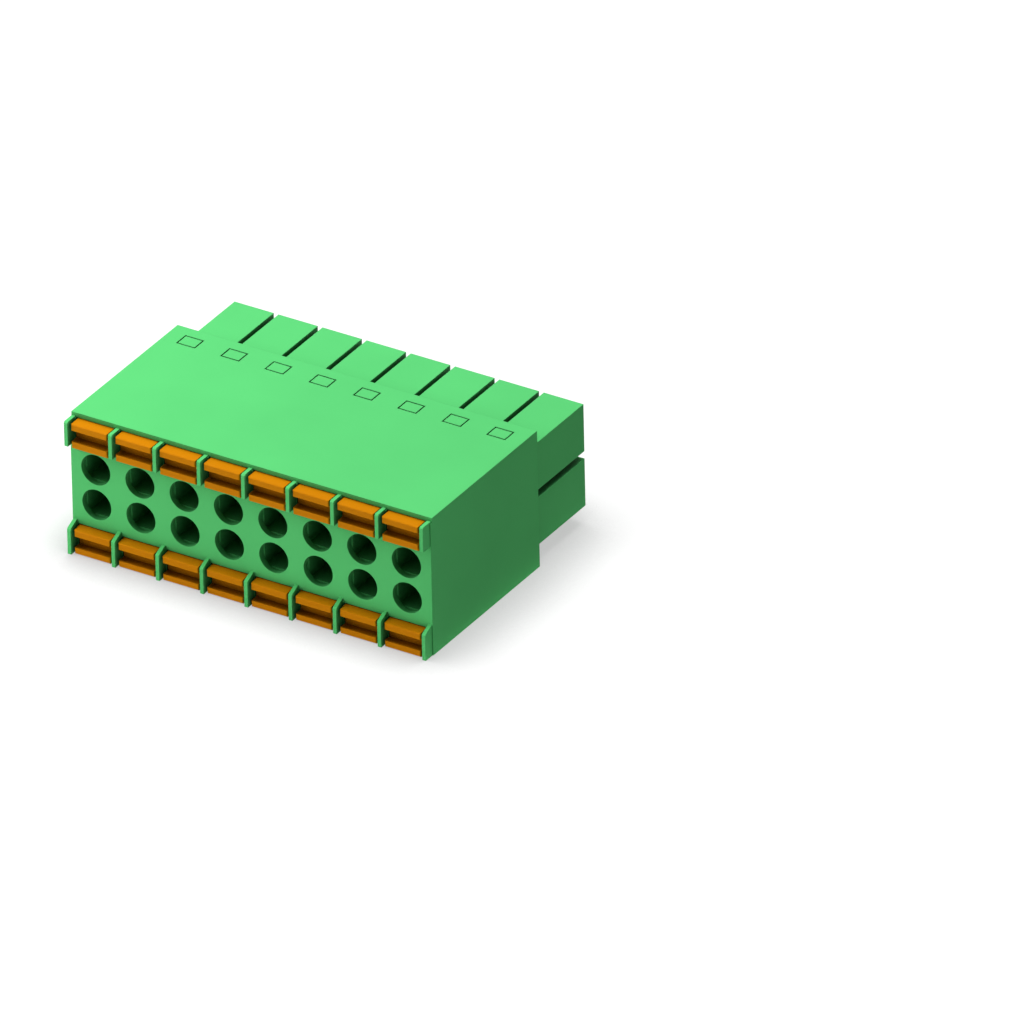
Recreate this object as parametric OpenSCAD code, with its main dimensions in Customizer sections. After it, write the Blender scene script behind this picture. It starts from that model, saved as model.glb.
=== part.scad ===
// Two-row pluggable push-in terminal block.
// X runs along the row of poles, Y is the plugging direction (wires enter at -Y, the
// mating header is at +Y) and Z runs through the thickness. It lies on its flat bottom.

/* [Poles] */
// Number of poles in each row
poles = 8; // [2:1:8]
// Distance from pole to pole
pitch = 3.5; // [3.5:0.01:3.81]
// What the block is wider than poles x pitch
end_extra = 0.4; // [0.3:0.05:0.8]

/* [Housing] */
// Thickness of the block through both rows
body_height = 10.5; // [10.3:0.1:11]
// Depth from the wire face to the ledge round the towers
body_depth = 13.5; // [13.2:0.1:15]
// Thin wall that covers the buttons and the carrier, top and bottom
cover_wall = 0.34; // [0.28:0.02:0.36]
// Wall between neighbouring cells
divider_wall = 0.4; // [0.34:0.02:0.5]
// Wall between the two rows of cells
row_wall = 0.38; // [0.3:0.02:0.44]
// Thickness of the front wall that the wires go through
front_wall = 3.2; // [3:0.1:3.6]
// How far the front edge of the top wall stands back from the wire face
brow_setback = 0.2; // [0.1:0.05:0.3]

/* [Ribs between the buttons] */
// Thickness of a rib
rib_thickness = 0.28; // [0.2:0.02:0.32]
// How far a rib stands out from the wire face
rib_reach = 0.85; // [0.75:0.05:1]
// How deep a rib is rooted in the housing behind the wire face
rib_root = 0.7; // [0.5:0.05:1]
// Chamfer on a rib's front corner
rib_chamfer = 0.1; // [0.05:0.01:0.15]
// How far an upper rib's top lies below the top face
upper_rib_drop = 0.25; // [0.2:0.01:0.28]
// Height of an upper rib
upper_rib_height = 1.88; // [1.8:0.02:1.96]
// Height of a lower rib at its front
lower_rib_height = 1.92; // [1.8:0.02:2]
// Rise of a lower rib's top from its front to the wire face
lower_rib_rise = 0.43; // [0.1:0.01:0.5]

/* [Wire entries] */
// Radius of the round wire entry
wire_entry_r = 1.15; // [1.05:0.05:1.2]
// Distance of each row of wire entries from the middle of the thickness
wire_row_offset = 1.35; // [1.3:0.05:1.4]
// Length of the round mouth of a wire entry
wire_entry_length = 0.5; // [0.4:0.05:0.8]
// Width of the square tunnel behind the round mouth
wire_tunnel_width = 2.04; // [1.9:0.02:2.2]
// Height of the square tunnel behind the round mouth
wire_tunnel_height = 2.06; // [1.9:0.02:2.2]

/* [Push buttons] */
// Gap between a button and the side of its pocket
button_side_gap = 0.13; // [0.08:0.01:0.16]
// Running gap above and below a button in its pocket
button_gap = 0.05; // [0.04:0.01:0.08]
// Height of the button's shaft
button_height = 1.61; // [1.5:0.01:1.66]
// How far a button stands out from the wire face
button_reach = 0.72; // [0.6:0.02:0.8]
// Length of the shaft inside the wire face
button_length = 4; // [3.8:0.1:4.2]
// Travel of a button
button_travel = 1; // [0.8:0.05:1]
// Room that stays behind a button's head when it is pressed
stroke_spare = 0.15; // [0.1:0.01:0.2]
// Height of the lip over the screwdriver groove
lip_height = 0.42; // [0.36:0.02:0.5]
// Height of the screwdriver groove
groove_height = 0.86; // [0.7:0.02:0.92]
// Depth of the screwdriver groove
groove_depth = 0.66; // [0.5:0.02:0.8]
// How far an upper button's head reaches below its shaft
upper_head_drop = 0.25; // [0.15:0.01:0.3]
// How far a lower button's head reaches below its shaft
lower_head_drop = 0.32; // [0.24:0.01:0.34]
// Length of a button's head inside the wire face
head_length = 0.55; // [0.4:0.05:0.7]
// Slope of a lower button's head from the wire face to its front edge
lower_head_slope = 0.11; // [0.05:0.01:0.15]
// Chamfer on a button's front edges
button_chamfer = 0.06; // [0.04:0.01:0.1]
// Width of the finger that opens the clamp
finger_width = 2; // [1.6:0.1:2.2]
// Depth of the finger below the shaft
finger_drop = 0.69; // [0.6:0.01:0.72]
// Thickness of the finger's nose
finger_nose = 0.34; // [0.28:0.02:0.4]
// Gap between the finger's heel and the front wall, which keeps the button in
heel_gap = 0.06; // [0.04:0.01:0.1]

/* [Clamp springs] */
// Thickness of the spring strip
spring_thickness = 0.25; // [0.2:0.01:0.3]
// Width of the spring strip
spring_width = 2.4; // [2:0.1:2.5]
// Middle-line radius of the spring's bend
spring_bend_r = 0.7; // [0.6:0.02:0.76]
// Depth of the bend's centre behind the wire face
spring_bend_depth = 5.9; // [5.9:0.05:6.1]
// Angle of the clamping leg to the wire
spring_leg_angle = 45; // [43:1:48]
// Gap between the finger's nose and the clamping leg
nose_gap = 0.12; // [0.1:0.01:0.2]
// Gap between the clamping leg's tip and the current bar
clamp_gap = 0.03; // [0.02:0.01:0.06]
// Gap between the support leg's end and the carrier's recess
spring_end_gap = 0.1; // [0.05:0.01:0.2]

/* [Contacts] */
// Thickness of the contact strip
contact_thickness = 0.25; // [0.2:0.01:0.28]
// Width of the current bar in the cell
bar_width = 2.4; // [2:0.1:2.5]
// Distance of the current bar's front end behind the front wall
bar_setback = 1; // [0.8:0.1:1.5]
// Gap behind the riser in its slot
riser_gap = 0.1; // [0.05:0.01:0.2]
// Width of the two spring arms in the tower
arm_width = 1.5; // [1.3:0.02:1.56]
// Half the distance between the arms at their root
arm_root = 0.9; // [0.8:0.02:0.94]
// Half the distance between the arms where they grip the pin
arm_grip = 0.38; // [0.34:0.02:0.5]
// Half the distance between the arms at their flared tips
arm_flare = 0.75; // [0.6:0.05:0.85]
// Length of the flared tips
arm_flare_length = 0.9; // [0.7:0.05:1]
// Gap between the arms' tips and the tower's front wall
arm_tip_gap = 0.3; // [0.2:0.05:0.5]

/* [Contact carrier] */
// Depth of the carrier's base inside the housing
base_depth = 3.25; // [3:0.05:3.4]
// Gap between the carrier's base and the housing
base_gap = 0.05; // [0.03:0.01:0.06]
// Length of a tower
tower_length = 6.5; // [6:0.1:7]
// Gap between neighbouring towers
tower_gap = 0.38; // [0.34:0.02:0.5]
// Height of a tower
tower_height = 3.64; // [3.6:0.02:3.8]
// Gap between the two rows of towers
tower_row_gap = 0.57; // [0.5:0.01:0.6]
// Radius of the round lead-in at a tower's end
pin_entry_r = 1.15; // [1.1:0.05:1.25]
// Length of the round lead-in
pin_entry_length = 1.2; // [1:0.1:1.4]
// Distance of each row of pin entries from the middle of the thickness
pin_row_offset = 2.1; // [2.08:0.01:2.14]
// Width of the contact chamber in a tower
chamber_width = 1.73; // [1.68:0.01:1.8]
// Height of the contact chamber in a tower
chamber_height = 2.4; // [2.36:0.02:2.5]

/* [Latches] */
// Width of a latch window
latch_width = 1.5; // [1.3:0.05:1.7]
// Depth of a latch window along the block
latch_depth = 1.2; // [1:0.05:1.4]
// Distance of a latch window's centre from the ledge
latch_setback = 1.5; // [1.3:0.05:1.6]
// Gap all round a latch lug in its window
latch_gap = 0.1; // [0.06:0.01:0.14]

/* [Hidden] */
UPPER = 1;
LOWER = -1;
ROWS = [UPPER, LOWER];
ROW_NAMES = ["lower", "", "upper"];
green = "#57C46C";
orange = "#F28C0D";
spring_steel = "#B9BDC2";
tinned_copper = "#CFCBBF";
// What a cut runs past the surface that it opens
past = 1;
$fn = 48;

total_width = poles * pitch + end_extra;
half_width = total_width / 2;
half_height = body_height / 2;
ceiling = half_height - cover_wall;
pocket_width = pitch - divider_wall;
cell_width = pocket_width;
button_width = pocket_width - 2 * button_side_gap;
button_top = ceiling - button_gap;
button_bottom = button_top - button_height;
pocket_bottom = button_bottom - button_gap;
finger_bottom = button_bottom - finger_drop;
relief_depth = head_length + button_travel + stroke_spare;
recess_depth = base_depth + base_gap;
cell_end = body_depth - recess_depth;
base_front = body_depth - base_depth;
end_wall = half_width - (poles - 1) * pitch / 2 - pocket_width / 2;
tower_width = pitch - tower_gap;
tower_tip = body_depth + tower_length;
wire_face_y = rib_reach - (rib_reach + tower_tip) / 2;
bar_bottom = row_wall / 2;
bar_top = bar_bottom + contact_thickness;
bar_front = front_wall + bar_setback;
riser_back = base_front + 2 * contact_thickness;
contact_slot = riser_back + riser_gap;
chamber_end = tower_tip - pin_entry_length;
arm_tip = chamber_end - arm_tip_gap;
grip_depth = arm_tip - arm_flare_length;

// Middle line of the spring, in depth and height: support leg, bend and clamping leg
support_height = ceiling - spring_thickness / 2;
bend_centre = [spring_bend_depth, support_height - spring_bend_r];
bend_end_angle = 270 - spring_leg_angle;
bend_end = bend_centre + spring_bend_r * [cos(bend_end_angle), sin(bend_end_angle)];
tip_height = bar_top + clamp_gap + spring_thickness / 2 * cos(spring_leg_angle);
leg_run = (bend_end[1] - tip_height) / tan(spring_leg_angle);
support_back = cell_end - spring_end_gap;
bend_steps = 8;
spring_path = concat(
    [[support_back, support_height]],
    [for (k = [0:bend_steps])
        let (a = 90 + (bend_end_angle - 90) * k / bend_steps)
        bend_centre + spring_bend_r * [cos(a), sin(a)]],
    [[bend_end[0] + leg_run, tip_height]]
);

function node_name(piece, row, i) = str(piece, "_", ROW_NAMES[row + 1], "_", i);
function pole_x(i) = (i - (poles + 1) / 2) * pitch;

// Depth of the clamping leg's front surface at a given height
function leg_front(height) =
    bend_end[0] + (bend_end[1] - height) / tan(spring_leg_angle)
    - spring_thickness / 2 / sin(spring_leg_angle);

// Outline of a strip of even thickness bent along a path
function left_of(v) = [-v[1], v[0]] / norm(v);
function beside(path, i, offset) =
    let (last = len(path) - 1)
    let (n1 = left_of(path[max(i, 1)] - path[max(i, 1) - 1]))
    let (n2 = left_of(path[min(i, last - 1) + 1] - path[min(i, last - 1)]))
    let (m = (n1 + n2) / norm(n1 + n2))
    path[i] + m * offset / (m * n1);
function strip_outline(path, thickness) = concat(
    [for (i = [0:len(path) - 1]) beside(path, i, thickness / 2)],
    [for (i = [len(path) - 1:-1:0]) beside(path, i, -thickness / 2)]
);

// From depth behind the wire face and height over the middle to the block's own frame
module in_block() {
    translate([0, wire_face_y, half_height]) children();
}

// The lower row holds the upper row's parts turned upside down
module in_row(row) {
    mirror([0, 0, row == UPPER ? 0 : 1]) children();
}

// An outline drawn in depth and height, given a width along X
module across(width) {
    rotate([90, 0, 90]) linear_extrude(width, center = true) children();
}

module box(width, depths, heights) {
    translate([-width / 2, depths[0], heights[0]])
        cube([width, depths[1] - depths[0], heights[1] - heights[0]]);
}

module round_hole(r, depths, height) {
    translate([0, depths[0], height])
        rotate([-90, 0, 0])
            cylinder(r = r, h = depths[1] - depths[0]);
}

// ---- housing ----

module upper_rib() {
    top = half_height - upper_rib_drop;
    bottom = top - upper_rib_height;
    across(rib_thickness) polygon([
        [rib_root, bottom],
        [-rib_reach, bottom],
        [-rib_reach, top - rib_chamfer],
        [-rib_reach + rib_chamfer, top],
        [rib_root, top]
    ]);
}

module lower_rib() {
    front_top = lower_rib_height - half_height;
    across(rib_thickness) polygon([
        [rib_root, -half_height],
        [-rib_reach, -half_height],
        [-rib_reach, front_top],
        [-rib_reach + rib_chamfer, front_top + rib_chamfer],
        [0, front_top + lower_rib_rise],
        [rib_root, front_top + lower_rib_rise]
    ]);
}

module ribs() {
    rib_span = half_width - rib_thickness / 2;
    for (i = [0:poles]) {
        x = max(-rib_span, min(rib_span, (i - poles / 2) * pitch));
        translate([x, 0, 0]) {
            upper_rib();
            lower_rib();
        }
    }
}

// Room for one pole: round mouth, square tunnel, button pocket and clamp cell
module pole_cell() {
    tunnel_bottom = wire_row_offset - wire_tunnel_height / 2;
    round_hole(wire_entry_r, [-past, wire_entry_length], wire_row_offset);
    box(wire_tunnel_width, [wire_entry_length, front_wall + past],
        [tunnel_bottom, tunnel_bottom + wire_tunnel_height]);
    box(pocket_width, [-past - rib_reach, front_wall + past], [pocket_bottom, ceiling]);
    box(cell_width, [front_wall, cell_end + past], [row_wall / 2, ceiling]);
}

// The wider mouth of an upper pocket, where the button's deeper head travels
module upper_head_relief() {
    relief_bottom = pocket_bottom - upper_head_drop;
    box(pocket_width, [-past - rib_reach, relief_depth], [relief_bottom, ceiling]);
}

// The open front of the wall under a lower button, where its deeper head travels
module lower_head_relief() {
    box(pocket_width, [-past - rib_reach, relief_depth], [-half_height - past, -ceiling + past]);
}

// The top wall's front edge stands back over the upper buttons
module brow_step() {
    box(total_width + past, [-past - rib_reach, brow_setback], [ceiling, half_height + past]);
}

module latch_window() {
    centre = body_depth - latch_setback;
    box(latch_width, [centre - latch_depth / 2, centre + latch_depth / 2],
        [ceiling - past, half_height + past]);
}

module housing() {
    color(green) in_block() difference() {
        union() {
            difference() {
                box(total_width, [0, body_depth], [-half_height, half_height]);
                brow_step();
            }
            ribs();
        }
        for (i = [1:poles]) translate([pole_x(i), 0, 0]) {
            for (row = ROWS) in_row(row) {
                pole_cell();
                latch_window();
            }
            upper_head_relief();
            lower_head_relief();
        }
        box(total_width - 2 * end_wall, [cell_end, body_depth + past], [-ceiling, ceiling]);
    }
}

// ---- contact carrier ----

module tower() {
    box(tower_width, [body_depth, tower_tip],
        [tower_row_gap / 2, tower_row_gap / 2 + tower_height]);
}

module latch_lug() {
    centre = body_depth - latch_setback;
    reach = latch_depth / 2 - latch_gap;
    box(latch_width - 2 * latch_gap, [centre - reach, centre + reach],
        [ceiling - past, half_height]);
}

// Room for one contact: chamber, slot for the riser and round lead-in
module contact_room() {
    slot_side = (cell_width - bar_width) / 4;
    box(chamber_width, [base_front - past, chamber_end],
        [pin_row_offset - chamber_height / 2, pin_row_offset + chamber_height / 2]);
    box(bar_width + slot_side, [base_front - past, contact_slot],
        [bar_bottom - base_gap, pin_row_offset + chamber_height / 2]);
    round_hole(pin_entry_r, [chamber_end, tower_tip + past], pin_row_offset);
}

module contact_carrier() {
    base_width = total_width - 2 * end_wall - 2 * base_gap;
    base_top = ceiling - base_gap;
    color(green) in_block() difference() {
        union() {
            box(base_width, [base_front, body_depth], [-base_top, base_top]);
            for (i = [1:poles]) translate([pole_x(i), 0, 0])
                for (row = ROWS) in_row(row) {
                    tower();
                    latch_lug();
                }
        }
        for (i = [1:poles]) translate([pole_x(i), 0, 0])
            for (row = ROWS) in_row(row) contact_room();
    }
}

// ---- push button ----

// Side view of the head: chamfered lip, screwdriver groove and lower land
module head_outline(top, bottom, slope) {
    lip_top = top - slope;
    lip_bottom = lip_top - button_chamfer - lip_height;
    land_top = lip_bottom - groove_height;
    groove_end = groove_depth - button_reach;
    polygon([
        [head_length, top],
        [brow_setback, top],
        [-button_reach + button_chamfer, lip_top],
        [-button_reach, lip_top - button_chamfer],
        [-button_reach, lip_bottom],
        [groove_end, lip_bottom],
        [groove_end, land_top],
        [-button_reach, land_top],
        [-button_reach, bottom + button_chamfer],
        [-button_reach + button_chamfer, bottom],
        [head_length, bottom]
    ]);
}

// Plan of the head: its two upright front edges are chamfered
module head_plan() {
    side = button_width / 2;
    polygon([
        [-side, head_length],
        [-side, -button_reach + button_chamfer],
        [-side + button_chamfer, -button_reach],
        [side - button_chamfer, -button_reach],
        [side, -button_reach + button_chamfer],
        [side, head_length]
    ]);
}

// Side view of the finger: heel behind the front wall, nose along the clamping leg
module finger_outline() {
    heel = front_wall + heel_gap;
    nose_top = finger_bottom + finger_nose;
    polygon([
        [heel, button_bottom + button_gap],
        [heel, finger_bottom],
        [leg_front(finger_bottom) - nose_gap * sqrt(2), finger_bottom],
        [leg_front(nose_top) - nose_gap * sqrt(2), nose_top],
        [button_length + finger_nose, nose_top],
        [button_length, button_bottom + button_gap]
    ]);
}

module push_button(row) {
    head_top = row == UPPER ? button_top : -button_bottom;
    head_bottom = row == UPPER ? button_bottom - upper_head_drop : -button_top - lower_head_drop;
    slope = row == UPPER ? 0 : lower_head_slope;
    color(orange) in_block() union() {
        intersection() {
            across(button_width) head_outline(head_top, head_bottom, slope);
            linear_extrude(body_height + past, center = true) head_plan();
        }
        in_row(row) {
            box(button_width, [head_length, button_length], [button_bottom, button_top]);
            across(finger_width) finger_outline();
        }
    }
}

// ---- clamp spring ----

module clamp_spring(row) {
    color(spring_steel) in_block() in_row(row)
        across(spring_width) polygon(strip_outline(spring_path, spring_thickness));
}

// ---- contact ----

// Arm that runs from the riser to its grip and flares open; side is 1 over the pin
module contact_arm(side) {
    across(arm_width) polygon(strip_outline([
        [riser_back - contact_thickness / 2, pin_row_offset + side * arm_root],
        [base_front + base_depth, pin_row_offset + side * arm_root],
        [grip_depth, pin_row_offset + side * arm_grip],
        [arm_tip, pin_row_offset + side * arm_flare]
    ], contact_thickness));
}

module contact(row) {
    riser_top = pin_row_offset + arm_root + contact_thickness / 2;
    color(tinned_copper) in_block() in_row(row) union() {
        box(bar_width, [bar_front, riser_back], [bar_bottom, bar_top]);
        box(arm_width, [riser_back - contact_thickness, riser_back], [bar_bottom, riser_top]);
        contact_arm(1);
        contact_arm(-1);
    }
}

module push_button_at(row, i) {
    translate([pole_x(i), 0, 0]) push_button(row);
}

module clamp_spring_at(row, i) {
    translate([pole_x(i), 0, 0]) clamp_spring(row);
}

module contact_at(row, i) {
    translate([pole_x(i), 0, 0]) contact(row);
}

housing();
contact_carrier();
for (row = ROWS) for (i = [1:poles]) {
    push_button_at(row, i);
    clamp_spring_at(row, i);
    contact_at(row, i);
}
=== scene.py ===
import math

import bpy
from mathutils import Matrix, Vector


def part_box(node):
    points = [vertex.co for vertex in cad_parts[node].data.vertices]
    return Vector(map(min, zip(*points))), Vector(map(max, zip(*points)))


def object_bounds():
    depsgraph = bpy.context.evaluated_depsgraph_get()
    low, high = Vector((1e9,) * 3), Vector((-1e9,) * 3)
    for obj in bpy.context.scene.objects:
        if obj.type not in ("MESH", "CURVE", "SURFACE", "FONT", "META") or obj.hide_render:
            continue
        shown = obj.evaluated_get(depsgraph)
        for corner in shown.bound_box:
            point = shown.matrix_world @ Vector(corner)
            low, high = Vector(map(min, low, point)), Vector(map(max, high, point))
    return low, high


# The looks of the two-row pluggable terminal block: finishes, floor, light and camera.
# Every shape comes from the frame. X runs along the poles, wires enter at -Y, Z is up.

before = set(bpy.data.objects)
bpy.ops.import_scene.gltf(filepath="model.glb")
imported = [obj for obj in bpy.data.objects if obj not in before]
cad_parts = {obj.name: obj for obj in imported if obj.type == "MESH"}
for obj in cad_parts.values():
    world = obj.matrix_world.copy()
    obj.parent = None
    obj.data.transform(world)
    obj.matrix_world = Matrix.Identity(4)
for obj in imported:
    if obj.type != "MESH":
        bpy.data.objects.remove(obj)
cad_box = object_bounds()
scene = bpy.context.scene

MM = 0.001

# ---- colours and finishes -------------------------------------------------------------

GREEN_PLASTIC = (0.122, 0.70, 0.205)
ORANGE_PLASTIC = (0.715, 0.250, 0.002)
SPRING_STEEL = (0.46, 0.47, 0.49)
TIN_PLATE = (0.62, 0.60, 0.56)

# Painted shade: each of these darkens a base colour where walls hem a point in (ambient
# occlusion), as shade in the recesses of the plastics and as a painted contact shadow on the
# floor.
# reach is how far off a wall still shades a point, in millimetres. A point as open as darkest
# keeps only the share left of its colour, and one as open as clear would keep all of it.
# Openness ends at 1, so a clear above 1 is never quite reached.
GREEN_PAINTED_SHADE = {"reach": 3.0, "darkest": 0.12, "clear": 1.02, "left": 0.26}
ORANGE_PAINTED_SHADE = {"reach": 3.0, "darkest": 0.12, "clear": 0.90, "left": 0.24}
FLOOR_PAINTED_SHADOW = {"reach": 5.0, "darkest": 0.50, "clear": 1.30, "left": 0.53}
# Rays that look round a point for walls for the painted shade, and for the edge that is softened
PAINTED_SHADE_SAMPLES = 6
EDGE_SAMPLES = 4

# Moulded plastic: wavelengths and heights in millimetres, and what is added to the
# roughness at the grain's low and high spots
FLOW_WAVELENGTH = 7.0
FLOW_DETAIL = 2.0
FLOW_TONES = (0.97, 1.03)
GRAIN_WAVELENGTH = 0.16
GRAIN_HEIGHT = 0.004
GRAIN_STRENGTH = 0.25
GRAIN_ROUGHNESS = (-0.04, 0.06)

# Rolled strip: the same for its rolling streaks and its uneven sheen
ROLLING_WAVELENGTH = 1.2
ROLLING_DETAIL = 5.0
ROLLING_HEIGHT = 0.003
ROLLING_STRENGTH = 0.3
ROLLING_ROUGHNESS = (-0.06, 0.08)
SHEEN_WAVELENGTH = 1.5
SHEEN_TONES = (0.88, 1.06)

# The range that a noise seldom leaves
NOISE_RANGE = (0.3, 0.7)

# ---- floor ----------------------------------------------------------------------------

# What the camera sees of the floor: its colour under the lamps and a glow of its own, both
# darkened near the block by a painted contact shadow
FLOOR_COLOUR = 0.30
FLOOR_GLOW = 0.98
# How pale the floor is where it lights the block: FLOOR_BOUNCE in front and on the left,
# and FLOOR_BOUNCE_BEYOND past the right end, behind a diagonal from the front corner. One
# turns into the other over BOUNCE_FADE millimetres.
FLOOR_BOUNCE = 0.73
FLOOR_BOUNCE_BEYOND = 0.09
BOUNCE_FADE = 2.0
# Length of the floor's sides in metres
FLOOR_SIZE = 3.0

# ---- light ----------------------------------------------------------------------------

SKY_LIGHT = 0.10
# Distant lamps: where each stands seen from the block, and its softness in degrees
TOP_LAMP = {"place": (0.0, 0.05, 1.0), "strength": 0.64, "softness": 30}
FRONT_LAMP = {"place": (-0.70, -0.62, 0.30), "strength": 0.28, "softness": 70}
END_LAMP = {"place": (0.95, 0.15, 0.25), "strength": 0.09, "softness": 40}
# The near lamp: its place and size in millimetres, and its power in watts
NEAR_LAMP = {"place": (-70.0, -20.0, 50.0), "power": 0.031, "size": 50.0}

# ---- camera ---------------------------------------------------------------------------

CAMERA_AZIMUTH = 32.406
CAMERA_ELEVATION = 30.363
CAMERA_ROLL = -1.263
FRAME_WIDTH = 68.58 * MM
# How far right of the frame's middle and above it the block's middle stands
BLOCK_RIGHT = -12.367 * MM
BLOCK_UP = 2.746 * MM
# Half the angle that the camera takes in, in degrees
HALF_ANGLE = 1.0
# The nearest and the farthest that the camera sees, in metres
NEAREST = 0.01
FARTHEST = 10.0


# ---- small helpers for materials ------------------------------------------------------

def add(tree, kind, inputs=None, **settings):
    """Adds a node. An input is a plain value, or another node's socket to link from."""
    node = tree.nodes.new(kind)
    for name, value in settings.items():
        setattr(node, name, value)
    for name, value in (inputs or {}).items():
        if isinstance(value, bpy.types.NodeSocket):
            tree.links.new(value, node.inputs[name])
        else:
            node.inputs[name].default_value = value
    return node


def math_of(tree, operation, first, second):
    made = add(tree, "ShaderNodeMath", {0: first, 1: second}, operation=operation)
    return made.outputs["Value"]


def mix_colours(tree, factor, start, end):
    made = add(tree, "ShaderNodeMix", {"Factor": factor, "A": start, "B": end}, data_type="RGBA")
    return made.outputs["Result"]


def scale_colour(tree, colour, factor):
    made = add(tree, "ShaderNodeVectorMath", {0: colour, "Scale": factor}, operation="SCALE")
    return made.outputs["Vector"]


def empty_tree(owner):
    owner.use_nodes = True
    owner.node_tree.nodes.clear()
    return owner.node_tree


def new_material(name):
    material = bpy.data.materials.new(name)
    return material, empty_tree(material)


def rgba(colour, factor=1.0):
    return tuple(channel * factor for channel in colour) + (1.0,)


def grey(level):
    return rgba((level, level, level))


def object_place(tree):
    return add(tree, "ShaderNodeTexCoord").outputs["Object"]


def noise(tree, place, wavelength, detail=3.0):
    """A noise of the given wavelength in millimetres over the object."""
    made = add(tree, "ShaderNodeTexNoise", {
        "Vector": place, "Scale": 1.0 / (wavelength * MM), "Detail": detail})
    return made.outputs["Fac"]


def spread(tree, factor, low, high):
    """Spreads a noise over the range from low to high."""
    made = add(tree, "ShaderNodeMapRange", {
        "Value": factor, "From Min": NOISE_RANGE[0], "From Max": NOISE_RANGE[1],
        "To Min": low, "To Max": high})
    return made.outputs["Result"]


def toned(tree, colour, tones, factor):
    """A colour that wanders between two tones of itself with a noise."""
    darker, lighter = tones
    return mix_colours(
        tree, spread(tree, factor, 0.0, 1.0), rgba(colour, darker), rgba(colour, lighter))


def painted_shade_factor(tree, reach, darkest, clear, left):
    """Painted shade: how much of its colour a point keeps, from how open its surroundings are."""
    around = add(tree, "ShaderNodeAmbientOcclusion", {
        "Distance": reach * MM}, samples=PAINTED_SHADE_SAMPLES)
    made = add(tree, "ShaderNodeMapRange", {
        "Value": around.outputs["AO"], "From Min": darkest, "From Max": clear,
        "To Min": left, "To Max": 1.0}, interpolation_type="SMOOTHSTEP")
    return made.outputs["Result"]


# ---- materials ------------------------------------------------------------------------

def moulded_plastic(name, colour, painted_shade, roughness, gloss, edge_radius):
    """Injection-moulded plastic: fine matt grain, faint flow clouds, soft mould edges, and painted
    shade in its recesses.
    """
    material, tree = new_material(name)
    place = object_place(tree)
    flow = noise(tree, place, FLOW_WAVELENGTH, FLOW_DETAIL)
    grain = noise(tree, place, GRAIN_WAVELENGTH)
    tone = toned(tree, colour, FLOW_TONES, flow)
    edges = add(tree, "ShaderNodeBevel", {"Radius": edge_radius * MM}, samples=EDGE_SAMPLES)
    surface = add(tree, "ShaderNodeBump", {
        "Strength": GRAIN_STRENGTH, "Distance": GRAIN_HEIGHT * MM, "Height": grain,
        "Normal": edges.outputs["Normal"]})
    smoother, rougher = GRAIN_ROUGHNESS
    # The base colour carries painted shade: it is darkened where walls hem a point in.
    shader = add(tree, "ShaderNodeBsdfPrincipled", {
        "Base Color": scale_colour(tree, tone, painted_shade_factor(tree, **painted_shade)),
        "Roughness": spread(tree, grain, roughness + smoother, roughness + rougher),
        "Specular IOR Level": gloss,
        "Normal": surface.outputs["Normal"]})
    add(tree, "ShaderNodeOutputMaterial", {"Surface": shader.outputs["BSDF"]})
    return material


def rolled_metal(name, colour, roughness, streak):
    """Stamped strip: rolling streaks along its length and a soft uneven sheen."""
    material, tree = new_material(name)
    place = object_place(tree)
    along = add(tree, "ShaderNodeMapping", {"Vector": place, "Scale": (streak, 1.0, 1.0)})
    rolling = noise(tree, along.outputs["Vector"], ROLLING_WAVELENGTH, ROLLING_DETAIL)
    sheen = noise(tree, place, SHEEN_WAVELENGTH)
    surface = add(tree, "ShaderNodeBump", {
        "Strength": ROLLING_STRENGTH, "Distance": ROLLING_HEIGHT * MM, "Height": rolling})
    smoother, rougher = ROLLING_ROUGHNESS
    shader = add(tree, "ShaderNodeBsdfPrincipled", {
        "Base Color": toned(tree, colour, SHEEN_TONES, sheen),
        "Metallic": 1.0,
        "Roughness": spread(tree, rolling, roughness + smoother, roughness + rougher),
        "Normal": surface.outputs["Normal"]})
    add(tree, "ShaderNodeOutputMaterial", {"Surface": shader.outputs["BSDF"]})
    return material


green_plastic = moulded_plastic(
    "green_plastic", GREEN_PLASTIC, GREEN_PAINTED_SHADE, roughness=0.52, gloss=0.05, edge_radius=0.05)
orange_plastic = moulded_plastic(
    "orange_plastic", ORANGE_PLASTIC, ORANGE_PAINTED_SHADE, roughness=0.46, gloss=0.03, edge_radius=0.04)
spring_steel = rolled_metal("spring_steel", SPRING_STEEL, roughness=0.34, streak=12.0)
tin_plate = rolled_metal("tin_plate", TIN_PLATE, roughness=0.30, streak=8.0)

# The finish of each kind of piece, by how its name starts
FINISHES = {
    "housing": green_plastic,
    "contact_carrier": green_plastic,
    "button": orange_plastic,
    "clamp_spring": spring_steel,
    "contact": tin_plate,
}


def finish_of(node_name):
    kinds = [kind for kind in FINISHES if node_name.startswith(kind)]
    return FINISHES[max(kinds, key=len)]


for node_name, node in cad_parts.items():
    for slot in node.material_slots:
        slot.material = finish_of(node_name)


# ---- floor and sky --------------------------------------------------------------------

def seen_directly(tree):
    """1 where the camera, a reflection or a clear material looks, else 0."""
    path = add(tree, "ShaderNodeLightPath").outputs
    either = math_of(tree, "MAXIMUM", path["Is Camera Ray"], path["Is Glossy Ray"])
    return math_of(tree, "MAXIMUM", either, path["Is Transmission Ray"])


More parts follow.
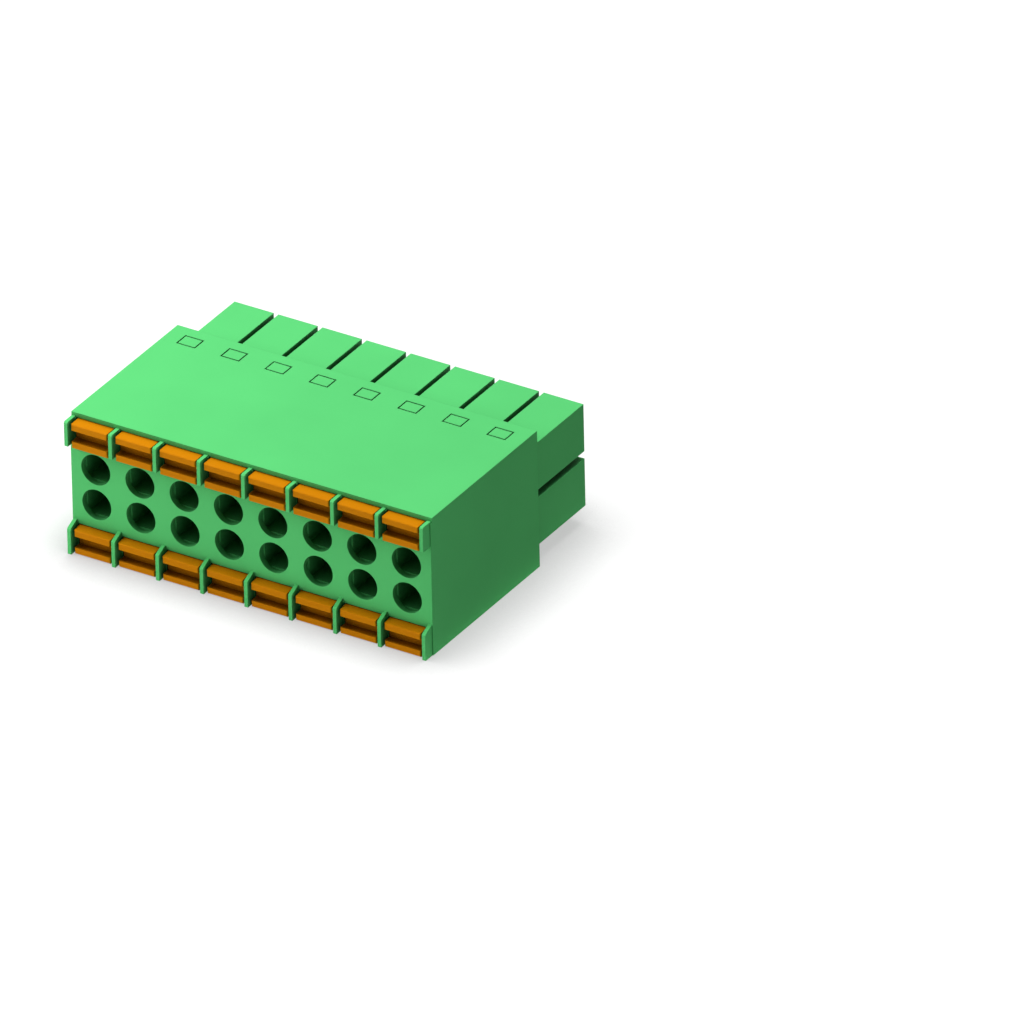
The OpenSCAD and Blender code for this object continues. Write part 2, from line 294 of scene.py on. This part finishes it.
def bounce_colour(tree):
    """What the floor throws back on the block: little past the block's right end."""
    lowest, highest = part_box("housing")
    along = add(tree, "ShaderNodeSeparateXYZ", {"Vector": object_place(tree)}).outputs
    past_end = math_of(tree, "SUBTRACT", along["X"], highest.x)
    past_front = math_of(tree, "SUBTRACT", along["Y"], lowest.y)
    past_diagonal = math_of(tree, "ADD", past_end, past_front)
    inside = math_of(tree, "MINIMUM", past_end, past_diagonal)
    beyond = add(tree, "ShaderNodeMapRange", {
        "Value": inside, "From Min": 0.0, "From Max": BOUNCE_FADE * MM})
    return mix_colours(
        tree, beyond.outputs["Result"], grey(FLOOR_BOUNCE), grey(FLOOR_BOUNCE_BEYOND))


def floor_material():
    material, tree = new_material("pale_floor")
    seen = seen_directly(tree)
    # Painted contact shadow: the colour and glow that the camera sees darken near the block
    contact = painted_shade_factor(tree, **FLOOR_PAINTED_SHADOW)
    shaded = scale_colour(tree, (FLOOR_COLOUR,) * 3, contact)
    lit = add(tree, "ShaderNodeBsdfDiffuse", {
        "Color": mix_colours(tree, seen, bounce_colour(tree), shaded)})
    glow = add(tree, "ShaderNodeEmission", {
        "Color": mix_colours(tree, seen, grey(0.0), grey(FLOOR_GLOW)),
        "Strength": contact})
    both = add(tree, "ShaderNodeAddShader", {
        0: lit.outputs["BSDF"], 1: glow.outputs["Emission"]})
    add(tree, "ShaderNodeOutputMaterial", {"Surface": both.outputs["Shader"]})
    return material


def build_floor():
    bpy.ops.object.select_all(action="DESELECT")
    bpy.ops.mesh.primitive_plane_add(size=FLOOR_SIZE)
    floor = bpy.context.active_object
    floor.name = "floor"
    floor.data.materials.append(floor_material())
    # It casts no shadow, so the painted shade at the block's lower edges leaves it out
    floor.visible_shadow = False


def build_sky():
    world = bpy.data.worlds.new("studio")
    tree = empty_tree(world)
    strength = add(tree, "ShaderNodeMix", {
        "Factor": seen_directly(tree), "A": SKY_LIGHT, "B": 1.0})
    shader = add(tree, "ShaderNodeBackground", {
        "Color": grey(1.0), "Strength": strength.outputs["Result"]})
    add(tree, "ShaderNodeOutputWorld", {"Surface": shader.outputs["Background"]})
    scene.world = world


# ---- lamps and camera -----------------------------------------------------------------

def hang(name, data, place):
    """Hangs a lamp so that it shines from the given place towards the block."""
    lamp = bpy.data.objects.new(name, data)
    lamp.rotation_euler = Vector(place).to_track_quat("Z", "Y").to_euler()
    scene.collection.objects.link(lamp)
    return lamp


def build_distant_lamp(name, place, strength, softness):
    data = bpy.data.lights.new(name, "SUN")
    data.energy = strength * math.pi
    data.angle = math.radians(softness)
    hang(name, data, place)


def build_near_lamp(name, place, power, size):
    data = bpy.data.lights.new(name, "AREA")
    data.shape = "DISK"
    data.energy = power
    data.size = size * MM
    hang(name, data, place).location = Vector(place) * MM


def camera_axes():
    """The camera's right, up and backward directions."""
    azimuth = math.radians(CAMERA_AZIMUTH)
    elevation = math.radians(CAMERA_ELEVATION)
    roll = math.radians(CAMERA_ROLL)
    back = Vector((
        math.sin(azimuth) * math.cos(elevation),
        -math.cos(azimuth) * math.cos(elevation),
        math.sin(elevation)))
    level = Vector((math.cos(azimuth), math.sin(azimuth), 0.0))
    rise = back.cross(level)
    right = level * math.cos(roll) + rise * math.sin(roll)
    return right, back.cross(right), back


def block_middle():
    """The middle of the housing's width and height, and of the whole block's depth."""
    lowest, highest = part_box("housing")
    middle = (lowest + highest) / 2
    middle.y = (cad_box[0][1] + cad_box[1][1]) / 2
    return middle


def build_camera():
    right, up, back = camera_axes()
    half_angle = math.radians(HALF_ANGLE)
    distance = FRAME_WIDTH / 2 / math.tan(half_angle)
    place = block_middle() - right * BLOCK_RIGHT - up * BLOCK_UP + back * distance
    turn = Matrix((right, up, back)).transposed().to_4x4()
    data = bpy.data.cameras.new("camera")
    data.lens = data.sensor_width / 2 / math.tan(half_angle)
    data.clip_start = NEAREST
    data.clip_end = FARTHEST
    camera = bpy.data.objects.new("camera", data)
    camera.matrix_world = Matrix.Translation(place) @ turn
    scene.collection.objects.link(camera)
    scene.camera = camera


build_floor()
build_sky()
build_distant_lamp("top_lamp", **TOP_LAMP)
build_distant_lamp("front_lamp", **FRONT_LAMP)
build_distant_lamp("end_lamp", **END_LAMP)
build_near_lamp("near_lamp", **NEAR_LAMP)
build_camera()
scene.view_settings.view_transform = "Standard"
